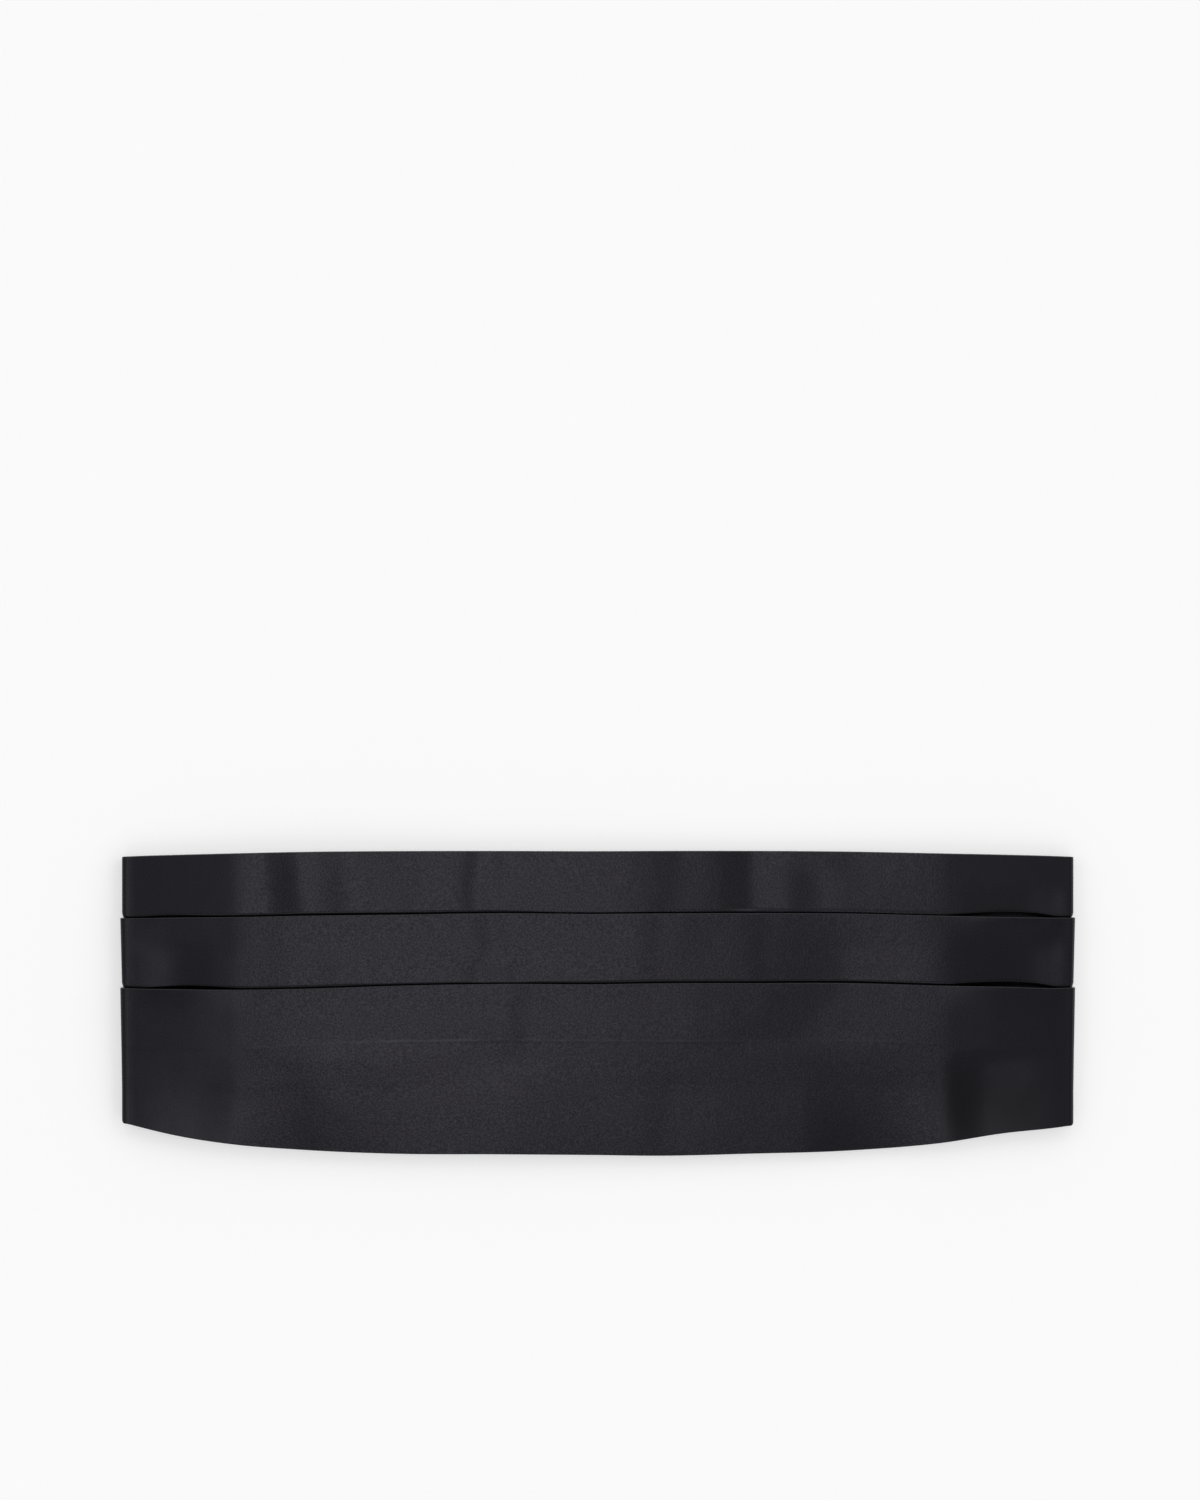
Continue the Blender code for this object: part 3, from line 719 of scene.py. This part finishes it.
def imprint_highlight(lines, y):
    """How strong the highlight is that is painted along the line where the underlap's end prints
    through the lower pleat.
    """
    imprint = lines.lower_fold - underlap(lines)
    shine = np.interp(lines.along, [highlight.x for highlight in IMPRINT_HIGHLIGHTS],
                      [highlight.shine for highlight in IMPRINT_HIGHLIGHTS])
    return shine * bump(y - imprint, HIGHLIGHT_HALF_WIDTH)


def dullness(along, y):
    """How much shade is painted into the front in its patches."""
    if abs(along) > FOLD_START:
        return np.zeros_like(y)
    return sum(patch.dullness * bump(along - patch.x, patch.half_width)
               * bump(y - patch.y, patch.half_height) for patch in SHADE_PATCHES)


def add_attribute(piece, name, values):
    attribute = piece.data.attributes.new(name, "FLOAT", "POINT")
    attribute.data.foreach_set("value", values.ravel())


def make_satin():
    """The satin with its attributes, made station by station along the panel."""
    outer = []
    inner = []
    shine = []
    grain = []
    shade = []
    for along in panel_stations(SATIN_STEPS):
        lines = panel_lines(along)
        y, height, shaded = satin_path(lines).arrays()
        for rows, (side_y, side_height) in zip((outer, inner), offset_sides(y, height, LAYER)):
            rows.append(place(along, side_y, side_height))
        # a highlight painted along the underlap's imprint
        shine.append(imprint_highlight(lines, y))
        fading = (1.0 - GRAIN_AT_ENDS) * smooth_step(abs(along), *GRAIN_FADE)
        grain.append(np.full_like(y, 1.0 - fading))
        # painted shade: in the openings, on the underlaps and in the front's darker patches
        shade.append(np.maximum(shaded, np.minimum(dullness(along, y), 1.0)))
    satin = strip_mesh("satin_cloth", np.array(outer), np.array(inner))
    add_attribute(satin, PAINTED_HIGHLIGHT, np.concatenate([shine, np.zeros_like(shine)]))
    add_attribute(satin, GRAINY, np.concatenate([grain, grain]))
    add_attribute(satin, SHADED, np.concatenate([shade, shade]))
    return satin


def make_lining():
    """The lining under the satin, a little short of its hems."""
    outer = []
    inner = []
    for along in panel_stations(LINING_STEPS):
        lines = panel_lines(along)
        y = np.linspace(lines.top_hem - LINING_INSET, lines.bottom_hem + LINING_INSET,
                        LINING_POINTS)
        middle = np.full_like(y, LINING_THICKNESS / 2)
        faces = offset_sides(y, middle, LINING_THICKNESS)
        for rows, (side_y, side_height) in zip((outer, inner), faces):
            rows.append(place(along, side_y, side_height))
    return strip_mesh("lining_cloth", np.array(outer), np.array(inner))


# ------------------------------------------------------------------------------ materials

SATIN_DARK = (0.0050, 0.0047, 0.0062)
SATIN_LIGHT = (0.0194, 0.0186, 0.0241)
# Painted highlight along the line where the underlap's end prints through the lower pleat
SATIN_PAINTED_HIGHLIGHT = (0.042, 0.040, 0.046)
# Painted shade in the pleats' openings and underlaps, and in darker patches of the front
SATIN_SHADED = (0.0012, 0.0011, 0.0014)
SATIN_GLOSS = (0.92, 0.885, 1.0, 1.0)
EVEN_GRAIN = (0.5, 0.5, 0.5)
LINING_DARK = (0.006, 0.006, 0.008)
LINING_LIGHT = (0.016, 0.016, 0.019)
ELASTIC_DARK = (0.005, 0.005, 0.006)
ELASTIC_LIGHT = (0.017, 0.017, 0.018)
METAL_DARK = (0.26, 0.26, 0.27)
METAL_LIGHT = (0.36, 0.36, 0.37)
BRUSHING_SCALE = (4000.0, 150.0, 4000.0)
FLOOR_DARK = (0.716, 0.716, 0.716)
FLOOR_LIGHT = (0.724, 0.724, 0.724)
FLOOR_GLOW = 0.495
WHITE = (1.0, 1.0, 1.0, 1.0)
WAVE_PERIOD = 2 * math.pi / 20   # of a wave texture whose scale is 1
MIX_FACTOR, MIX_FIRST, MIX_SECOND = 0, 6, 7
MIX_RESULT = 2


def node_material(name):
    material = bpy.data.materials.new(name)
    material.use_nodes = True
    tree = material.node_tree
    return material, tree, tree.nodes["Principled BSDF"]


def add_node(tree, kind, **values):
    node = tree.nodes.new(kind)
    for key, value in values.items():
        setattr(node, key, value)
    return node


def set_inputs(node, values):
    for name, value in values.items():
        node.inputs[name].default_value = value


def object_coordinates(tree):
    return add_node(tree, "ShaderNodeTexCoord").outputs["Object"]


def attribute_value(tree, name):
    return add_node(tree, "ShaderNodeAttribute", attribute_name=name).outputs["Fac"]


def noise(tree, coordinates, scale, detail, roughness=0.5):
    node = add_node(tree, "ShaderNodeTexNoise")
    set_inputs(node, {"Scale": scale, "Detail": detail, "Roughness": roughness})
    tree.links.new(coordinates, node.inputs["Vector"])
    return node.outputs["Fac"]


def bump_from(tree, height, distance, strength=1.0, normal=None):
    """Bumps as high as the distance, in metres, on top of another normal's if there is one."""
    node = add_node(tree, "ShaderNodeBump")
    set_inputs(node, {"Distance": distance, "Strength": strength})
    tree.links.new(height, node.inputs["Height"])
    if normal is not None:
        tree.links.new(normal, node.inputs["Normal"])
    return node.outputs["Normal"]


def remap(tree, value, low, high, from_low=0.0, from_high=1.0):
    node = add_node(tree, "ShaderNodeMapRange")
    set_inputs(node, {"From Min": from_low, "From Max": from_high, "To Min": low, "To Max": high})
    tree.links.new(value, node.inputs["Value"])
    return node.outputs["Result"]


def mix_colours(tree, factor, first, second):
    """A mix of two colours, each three numbers or a node's output."""
    node = add_node(tree, "ShaderNodeMix", data_type="RGBA")
    tree.links.new(factor, node.inputs[MIX_FACTOR])
    for colour, socket in ((first, node.inputs[MIX_FIRST]), (second, node.inputs[MIX_SECOND])):
        if isinstance(colour, tuple):
            socket.default_value = (*colour, 1.0)
        else:
            tree.links.new(colour, socket)
    return node.outputs[MIX_RESULT]


def satin_material():
    """Black satin: a tight sheen over near-black thread, with a fine uneven grain."""
    material, tree, shader = node_material("satin")
    coordinates = object_coordinates(tree)
    grain = noise(tree, coordinates, scale=1300.0, detail=1.5, roughness=0.6)
    grain = mix_colours(tree, attribute_value(tree, GRAINY), EVEN_GRAIN, grain)
    thread = remap(tree, grain, low=0.0, high=1.0, from_low=0.33, from_high=0.67)
    colour = mix_colours(tree, thread, SATIN_DARK, SATIN_LIGHT)
    # The highlight painted along the underlap's imprint
    colour = mix_colours(tree, attribute_value(tree, PAINTED_HIGHLIGHT), colour, SATIN_PAINTED_HIGHLIGHT)
    # Shade painted into the openings, underlaps and darker patches
    colour = mix_colours(tree, attribute_value(tree, SHADED), colour, SATIN_SHADED)
    tree.links.new(colour, shader.inputs["Base Color"])
    roughness = remap(tree, grain, low=0.28, high=0.17, from_low=0.3, from_high=0.7)
    tree.links.new(roughness, shader.inputs["Roughness"])
    set_inputs(shader, {"IOR": 1.5, "Specular Tint": SATIN_GLOSS,
                        "Sheen Weight": 0.03, "Sheen Roughness": 0.4})
    drift = noise(tree, coordinates, scale=60.0, detail=2.0)
    slow = bump_from(tree, drift, distance=0.00006)
    fine = bump_from(tree, grain, distance=0.00003, normal=slow)
    tree.links.new(fine, shader.inputs["Normal"])
    return material


def woven_material(name, dark, light, pitch, roughness, depth):
    """Plain cloth with a fine even weave, its pitch and depth in millimetres."""
    material, tree, shader = node_material(name)
    coordinates = object_coordinates(tree)
    weave = add_node(tree, "ShaderNodeMath", operation="MULTIPLY")
    for direction, factor in zip("XY", weave.inputs):
        wave = add_node(tree, "ShaderNodeTexWave", bands_direction=direction)
        set_inputs(wave, {"Scale": WAVE_PERIOD / (pitch * METRES), "Distortion": 0.6})
        tree.links.new(coordinates, wave.inputs["Vector"])
        tree.links.new(wave.outputs["Fac"], factor)
    height = weave.outputs["Value"]
    tree.links.new(mix_colours(tree, height, dark, light), shader.inputs["Base Color"])
    set_inputs(shader, {"Roughness": roughness, "Sheen Weight": 0.1})
    tree.links.new(bump_from(tree, height, distance=depth * METRES), shader.inputs["Normal"])
    return material


def metal_material():
    """Dull nickel with fine brushing."""
    material, tree, shader = node_material("clasp_metal")
    stretch = add_node(tree, "ShaderNodeMapping")
    set_inputs(stretch, {"Scale": BRUSHING_SCALE})
    tree.links.new(object_coordinates(tree), stretch.inputs["Vector"])
    brushing = noise(tree, stretch.outputs["Vector"], scale=1.0, detail=3.0)
    colour = mix_colours(tree, brushing, METAL_DARK, METAL_LIGHT)
    tree.links.new(colour, shader.inputs["Base Color"])
    set_inputs(shader, {"Metallic": 1.0})
    tree.links.new(remap(tree, brushing, low=0.28, high=0.42), shader.inputs["Roughness"])
    normal = bump_from(tree, brushing, distance=0.00002, strength=0.6)
    tree.links.new(normal, shader.inputs["Normal"])
    return material


def floor_material():
    material, tree, shader = node_material("floor")
    mottle = noise(tree, object_coordinates(tree), scale=3.0, detail=2.0)
    colour = mix_colours(tree, mottle, FLOOR_DARK, FLOOR_LIGHT)
    tree.links.new(colour, shader.inputs["Base Color"])
    set_inputs(shader, {"Roughness": 0.9, "Specular IOR Level": 0.1,
                        "Emission Color": WHITE, "Emission Strength": FLOOR_GLOW})
    return material


# ------------------------------------------------------------------- strap and clasp pieces

# Nodes, slots and the width of their rounded edges in millimetres
PlainPiece = namedtuple("PlainPiece", "node slot edge")
PLAIN_PIECES = [
    PlainPiece("strap_left", "elastic", 0.3),
    PlainPiece("strap_right", "elastic", 0.3),
    PlainPiece("clasp_eye", "clasp_metal", 0.2),
    PlainPiece("clasp_hook", "clasp_metal", 0.2),
]
SAME_POINT = 0.00001
FLAT_ANGLE = math.radians(2.0)
SHARP_ANGLE = math.radians(40.0)
EDGE_SEGMENTS = 3


def refined_copy(node, edge):
    """A copy of one of the frame's solids, in clean faces with rounded edges."""
    name = node + "_fine"
    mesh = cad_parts[node].data.copy()
    mesh.name = name
    mesh.materials.clear()
    shape = bmesh.new()
    shape.from_mesh(mesh)
    bmesh.ops.remove_doubles(shape, verts=shape.verts, dist=SAME_POINT)
    bmesh.ops.dissolve_limit(shape, angle_limit=FLAT_ANGLE, verts=shape.verts, edges=shape.edges)
    shape.to_mesh(mesh)
    shape.free()
    mesh.shade_smooth()
    piece = add_object(name, mesh)
    soften = piece.modifiers.new("soften", "BEVEL")
    soften.width = edge * METRES
    soften.segments = EDGE_SEGMENTS
    soften.limit_method = "ANGLE"
    soften.angle_limit = SHARP_ANGLE
    return piece


# ------------------------------------------------------------------------ stage and camera

# Brightness of the surroundings by height, from the horizon (0) to straight above (1)
SkyStop = namedtuple("SkyStop", "height brightness")
SKY_STOPS = [
    SkyStop(0.0, 0.35),
    SkyStop(0.35, 0.75),
    SkyStop(0.75, 0.95),
    SkyStop(0.92, 0.08),
    SkyStop(1.0, 0.04),
]
SKY_STRENGTH = 1.0
SKY_BRIGHT_SIDE = (0.38, 0.34, 0.0)   # towards it, and as long as the strength that it adds

FLOOR_REACH = 8.0
FLOOR_HEIGHT = -0.0001

LIGHT_PLACE = (-0.2, 0.22, 5.0)
LIGHT_WIDTH = 0.84
LIGHT_LENGTH = 2.96
LIGHT_RADIANCE = 1.09

# The photograph's frame and the object in it, in pixels, and the size of a pixel
PHOTO_HEIGHT = 1500
PHOTO_MIDDLE = (600.0, 750.0)
OBJECT_MIDDLE = (597.7, 1003.15)
OBJECT_LENGTH = 953.8
REAL_LENGTH = 400.0        # in millimetres
PIXEL = REAL_LENGTH / OBJECT_LENGTH * METRES
PIXEL_HEIGHT = 0.0005      # where a pixel has that size
LENS = 135.0
SENSOR = 36.0
FURTHEST = 50.0


def make_floor():
    reach = FLOOR_REACH
    corners = ((-reach, -reach), (reach, -reach), (reach, reach), (-reach, reach))
    mesh = bpy.data.meshes.new("floor")
    mesh.from_pydata([(x, y, FLOOR_HEIGHT) for x, y in corners], [], [(0, 1, 2, 3)])
    mesh.materials.append(floor_material())
    floor = add_object("floor", mesh)


def make_world():
    """Soft surroundings: a dark patch straight above, and more light from the upper right."""
    world = bpy.data.worlds.new("surroundings")
    bpy.context.scene.world = world
    world.use_nodes = True
    tree = world.node_tree
    background = tree.nodes["Background"]
    direction = add_node(tree, "ShaderNodeTexCoord").outputs["Generated"]
    split = add_node(tree, "ShaderNodeSeparateXYZ")
    tree.links.new(direction, split.inputs["Vector"])
    ramp = add_node(tree, "ShaderNodeValToRGB")
    stops = ramp.color_ramp.elements
    for row in SKY_STOPS[1:-1]:
        stops.new(row.height)
    for stop, row in zip(stops, SKY_STOPS):
        stop.position = row.height
        stop.color = (row.brightness, row.brightness, row.brightness, 1.0)
    tree.links.new(split.outputs["Z"], ramp.inputs["Fac"])
    tree.links.new(ramp.outputs["Color"], background.inputs["Color"])
    toward = add_node(tree, "ShaderNodeVectorMath", operation="DOT_PRODUCT")
    toward.inputs[1].default_value = SKY_BRIGHT_SIDE
    tree.links.new(direction, toward.inputs[0])
    lopsided = add_node(tree, "ShaderNodeMath", operation="ADD")
    lopsided.inputs[1].default_value = SKY_STRENGTH
    tree.links.new(toward.outputs["Value"], lopsided.inputs[0])
    tree.links.new(lopsided.outputs["Value"], background.inputs["Strength"])


def make_light():
    """A long soft light above, a little to the left of the middle."""
    light = bpy.data.lights.new("overhead", "AREA")
    light.shape = "RECTANGLE"
    light.size = LIGHT_WIDTH
    light.size_y = LIGHT_LENGTH
    light.energy = LIGHT_RADIANCE * math.pi * LIGHT_WIDTH * LIGHT_LENGTH
    add_object("overhead", light).location = LIGHT_PLACE


def make_camera():
    """Straight above, framed as the photograph is."""
    data = bpy.data.cameras.new("camera")
    data.lens = LENS
    data.sensor_width = SENSOR
    data.clip_end = FURTHEST
    camera = add_object("camera", data)
    distance = PHOTO_HEIGHT * PIXEL / SENSOR * LENS
    camera.location = ((PHOTO_MIDDLE[0] - OBJECT_MIDDLE[0]) * PIXEL,
                       (OBJECT_MIDDLE[1] - PHOTO_MIDDLE[1]) * PIXEL,
                       distance + PIXEL_HEIGHT)
    bpy.context.scene.camera = camera


def main():
    make_camera()
    make_world()
    make_light()
    bpy.context.scene.view_settings.view_transform = "Standard"
    make_floor()

    satin = make_satin()
    satin.data.materials.append(satin_material())
    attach(satin, ROOT)
    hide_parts("top_pleat", "middle_pleat", "lower_pleat")

    lining = make_lining()
    lining.data.materials.append(woven_material("lining", LINING_DARK, LINING_LIGHT,
                                                pitch=0.2826, roughness=0.55, depth=0.04))
    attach(lining, ROOT)
    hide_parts("backing")

    materials = {"elastic": woven_material("elastic", ELASTIC_DARK, ELASTIC_LIGHT,
                                           pitch=0.6908, roughness=0.7, depth=0.15),
                 "clasp_metal": metal_material()}
    for node, slot, edge in PLAIN_PIECES:
        piece = refined_copy(node, edge)
        piece.data.materials.append(materials[slot])
        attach(piece, ROOT)
        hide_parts(node)


main()
